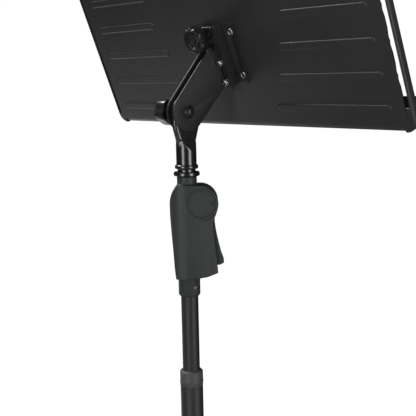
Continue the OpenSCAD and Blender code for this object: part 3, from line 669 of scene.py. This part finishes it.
def build_neck():
    """Round tube, pinched flat in its upper part, with a soft crease where the flat begins."""
    box_low, box_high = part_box("neck_tube")
    foot = (box_low.z - PIVOT.z) / MM
    half = (box_high.z - PIVOT.z) / MM
    r, flat = 11.75, 4.2
    # heights of the straight flank's end and of the crease, and how far the flat's edge is rounded
    flank, low, high, edge, blend = -8, -43.0, -29.3, 4.0, 0.7
    flare = [(bezier(k / 40, half, half, r + 0.6, r), bezier(k / 40, flank, -22, high, low - 1))
             for k in range(41)]

    def width(z):
        if z >= 0:
            return math.sqrt(max(0.0, half * half - z * z))
        if z > flank:
            return half
        for (w0, z0), (w1, z1) in zip(flare, flare[1:]):
            if z1 <= z <= z0:
                return w0 + (w1 - w0) * (z0 - z) / (z0 - z1)
        return r

    def thick(y, z, w):
        inside = (half - math.hypot(y, z)) if z > 0 else w - abs(y)
        e = max(0.0, min(1.0, inside / edge))
        slab = flat * math.sqrt(max(0.0, 1 - (1 - e) ** 2))
        if z > flank or abs(y) >= r:
            return slab
        cut = flat + max(0.0, high - z) * (r - flat) / (high - low)
        return soft_max(soft_min(math.sqrt(r * r - y * y), cut, blend), slab, blend)

    zs = [foot, foot + 0.3, foot + 0.8] + [foot + 2 + i for i in range(int(-foot - 2) - 6)]
    zs = [z for z in zs if z < flank] + [flank + i * 1.1 for i in range(8)]
    zs += [half * math.sin(math.radians(a)) for a in range(4, 90, 4)]
    bm = bmesh.new()
    loops = []
    for z in zs:
        w = width(z) - (0.3 if z == foot else 0)
        loop = []
        for a in ring_angles(56):
            y, side = w * math.cos(a), math.sin(a)
            t = thick(y, z, w)
            if abs(side) < 0.12:
                t *= min(1.0, abs(side) * 8)
            loop.append(bm.verts.new((math.copysign(t, side), y, z)))
        loops.append(loop)
    loops.append([bm.verts.new((0, 0, half))])
    for a, b in zip(loops, loops[1:]):
        band(bm, a, b)
    bm.faces.new(loops[0][::-1])
    bmesh.ops.recalc_face_normals(bm, faces=bm.faces)
    obj = from_bmesh("part", bm, Matrix.Translation(PIVOT))
    finish_piece(obj, "neck_pinched", "neck", "gloss_coat", ["neck_tube"], 40)


def build_rings():
    """Two thick rings with a waist between them."""
    low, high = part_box("ring_collar")
    z0, z1 = low.z / MM, high.z / MM
    t = 5.0
    prof = [(7.1, z0), (14.2, z0), (15.1, z0 + 1.0), (15.1, z0 + t - 1.4), (14.4, z0 + t - 0.2),
            (12.5, z0 + t), (10.5, z0 + t + 0.2), (10.3, z0 + 6.5), (10.5, z1 - t - 0.2), (11.8, z1 - t),
            (12.8, z1 - t + 0.3), (13.5, z1 - t + 1.2), (13.5, z1 - 1.2), (12.9, z1 - 0.3), (11.9, z1),
            (7.1, z1)]
    finish_piece(turned(prof, UPRIGHT, 128, closed=True), "rings", "neck", "gloss_coat", ["ring_collar"], 40)


build_neck()
build_rings()

# ---------------------------------------------------------------- moulded pieces


def cad_copy(node):
    """A loose object with a CAD node's mesh, its doubled corners joined."""
    bm = bmesh.new()
    bm.from_mesh(NODES[node].data)
    bmesh.ops.remove_doubles(bm, verts=bm.verts, dist=WELD)
    return from_bmesh("part", bm, UPRIGHT, 1.0)


def moulded(name, node, body, slot, voxel, rounds, add=(), cut=()):
    """A CAD node's shape as moulded plastic: extra forms added and cut, then all its edges softened."""
    obj = cad_copy(node)
    if add:
        combine(obj, add, "UNION")
    if cut:
        combine(obj, cut, "DIFFERENCE")
    grid = obj.modifiers.new("grid", "REMESH")
    grid.mode = "VOXEL"
    grid.voxel_size = voxel * MM
    soft = obj.modifiers.new("soft", "SMOOTH")
    soft.factor = 0.5
    soft.iterations = rounds
    apply_modifiers(obj)
    finish_piece(obj, name, body, slot, [node], 60)


def build_grip():
    """The grip's two shells with their round lobe, the plain disc in its seat, and the trigger."""
    badge_x, badge_z, badge_y = 16.6, 110.4, -15.6
    lobe_r, lobe_inner, lobe_outer = 19.0, 4.0, 17.2
    voxel = 0.75
    at_badge = GRIPPED @ about_y(badge_x, badge_z)
    lobe_x, lobe_z = badge_x + 0.2, badge_z - 0.4
    circle = [(lobe_x + lobe_r * math.cos(a), lobe_z + lobe_r * math.sin(a)) for a in ring_angles(72)]

    lobe = prism(circle, -lobe_outer, -lobe_inner, GRIPPED)
    seat = turned([(0, -20), (16.5, -20), (16.5, badge_y), (0, badge_y)], at_badge, 96)
    moulded("grip_shell_right", "grip_right", "column", "grip_plastic", voxel, 5, [lobe], [seat])
    lobe = prism(circle, lobe_inner, lobe_outer, GRIPPED)
    dish = turned([(0, 20), (15.0, 20), (14.2, 16.4), (0, 16.0)], at_badge, 96)
    moulded("grip_shell_left", "grip_left", "column", "grip_plastic", voxel, 5, [lobe], [dish])

    # plain disc: a rim, a shallow groove and a slightly domed middle, with a hole for the trigger's pin
    y = badge_y
    prof = [(0, y), (16.2, y), (16.2, y - 0.75), (15.9, y - 1.05), (14.6, y - 1.1), (14.2, y - 0.8),
            (13.7, y - 0.8), (13.3, y - 1.1), (8, y - 1.25), (3, y - 1.3), (0, y - 1.3)]
    at_pin = GRIPPED @ about_y(TRIGGER_PIN.xy.length / MM, (TRIGGER_PIN.z - SLEEVE_Z) / MM)
    hole = turned([(0, -22), (2.7, -22), (2.7, -10), (0, -10)], at_pin, 40)
    disc = combine(turned(prof, at_badge, 128), [hole], "DIFFERENCE")
    finish_piece(disc, "badge_disc", "column", "badge_plastic", ["badge"], 30)
    moulded("trigger_lever_shape", "trigger", "trigger_lever", "grip_plastic", voxel * 0.9, 4)


build_grip()

for leg in ("front", "left", "right"):
    moulded("rubber_foot_" + leg, "foot_" + leg, "leg_" + leg[0], "foot_rubber", 0.9, 4)

# ---------------------------------------------------------------- stage, lights, camera

FLOOR_GREY, FLOOR_GLOW, WORLD_GLOW = 0.25, 1.0, 0.045


def floor_material():
    """Pale matt floor that glows for the camera only, so that it lights nothing."""
    m = bpy.data.materials.new("floor")
    m.use_nodes = True
    nodes, links = m.node_tree.nodes, m.node_tree.links
    bsdf = nodes["Principled BSDF"]
    bsdf.inputs["Base Color"].default_value = (FLOOR_GREY, FLOOR_GREY, FLOOR_GREY, 1)
    bsdf.inputs["Roughness"].default_value = 0.9
    bsdf.inputs["Specular IOR Level"].default_value = 0.1
    glow = nodes.new("ShaderNodeEmission")
    glow.inputs["Strength"].default_value = FLOOR_GLOW
    seen = nodes.new("ShaderNodeLightPath")
    clear = nodes.new("ShaderNodeBsdfTransparent")
    clear.inputs["Color"].default_value = (0, 0, 0, 1)
    pick = nodes.new("ShaderNodeMixShader")
    both = nodes.new("ShaderNodeAddShader")
    links.new(seen.outputs["Is Camera Ray"], pick.inputs["Fac"])
    links.new(clear.outputs["BSDF"], pick.inputs[1])
    links.new(glow.outputs["Emission"], pick.inputs[2])
    links.new(bsdf.outputs["BSDF"], both.inputs[0])
    links.new(pick.outputs["Shader"], both.inputs[1])
    links.new(both.outputs["Shader"], nodes["Material Output"].inputs["Surface"])
    return m


def stage_floor():
    """Floor that curves up into a backdrop far behind the stand, in metres."""
    flat_r, bend_r, top_z = 6.0, 2.5, 6.0
    profile = [(1.5, 0.0), (4.0, 0.0), (flat_r, 0.0)]
    for k in range(1, 9):
        a = k * math.pi / 16
        profile.append((flat_r + bend_r * math.sin(a), bend_r - bend_r * math.cos(a)))
    profile.append((flat_r + bend_r, top_z))
    bm = bmesh.new()
    loops = []
    for r, z in profile:
        loops.append([bm.verts.new((r * math.cos(a), r * math.sin(a), z)) for a in ring_angles(96)])
    bm.faces.new(loops[0])
    for a, b in zip(loops, loops[1:]):
        band(bm, a, b)
    obj = from_bmesh("floor", bm, UPRIGHT, 1.0)
    for p in obj.data.polygons:
        p.use_smooth = p.center.length > flat_r + 0.1
    obj.data.materials.append(floor_material())


def area_light(name, place, target, size, power, size_y=None):
    data = bpy.data.lights.new(name, "AREA")
    data.shape = "RECTANGLE"
    data.size = size
    data.size_y = size_y or size
    data.energy = power
    obj = bpy.data.objects.new(name, data)
    bpy.context.scene.collection.objects.link(obj)
    obj.location = place
    obj.rotation_euler = (Vector(target) - Vector(place)).to_track_quat("-Z", "Y").to_euler()


def build_world():
    world = bpy.data.worlds.new("studio")
    bpy.context.scene.world = world
    world.use_nodes = True
    background = world.node_tree.nodes["Background"]
    background.inputs["Color"].default_value = (1, 1, 1, 1)
    background.inputs["Strength"].default_value = WORLD_GLOW


def build_camera():
    """Camera fitted to the desk's edges."""
    place = Vector((-0.821769, 0.660662, 0.95731))
    yaw, pitch, roll = math.radians(-49.9129), math.radians(-8.1023), math.radians(-1.1952)
    data = bpy.data.cameras.new("camera")
    data.sensor_width = 36
    data.sensor_fit = "HORIZONTAL"
    data.lens = 79.29
    cam = bpy.data.objects.new("camera", data)
    bpy.context.scene.collection.objects.link(cam)
    forward = Vector((-math.sin(yaw) * math.cos(pitch), -math.cos(yaw) * math.cos(pitch), math.sin(pitch)))
    level = Vector((-math.cos(yaw), math.sin(yaw), 0))
    above = level.cross(forward)
    right = math.cos(roll) * level + math.sin(roll) * above
    up = -math.sin(roll) * level + math.cos(roll) * above
    turn = Matrix((right, up, -forward)).transposed().to_4x4()
    cam.matrix_world = Matrix.Translation(place) @ turn
    bpy.context.scene.camera = cam


stage_floor()
build_world()
area_light("top", (1.5, 0.5, 2.6), (0, 0, 0.95), 0.7, 45)
area_light("left", (-0.5, 2.1, 1.0), (0, 0, 0.85), 0.8, 18, 1.8)
area_light("right", (-2.1, -0.1, 1.0), (0, 0, 0.85), 0.8, 19, 1.8)
area_light("corner", (1.2, 0.35, 0.35), (0.2, 0, 0.9), 0.35, 0.5)
area_light("under", (1.1, -0.3, 0.2), (0, -0.05, 0.88), 0.6, 1.6)
build_camera()
bpy.context.scene.view_settings.view_transform = "Standard"
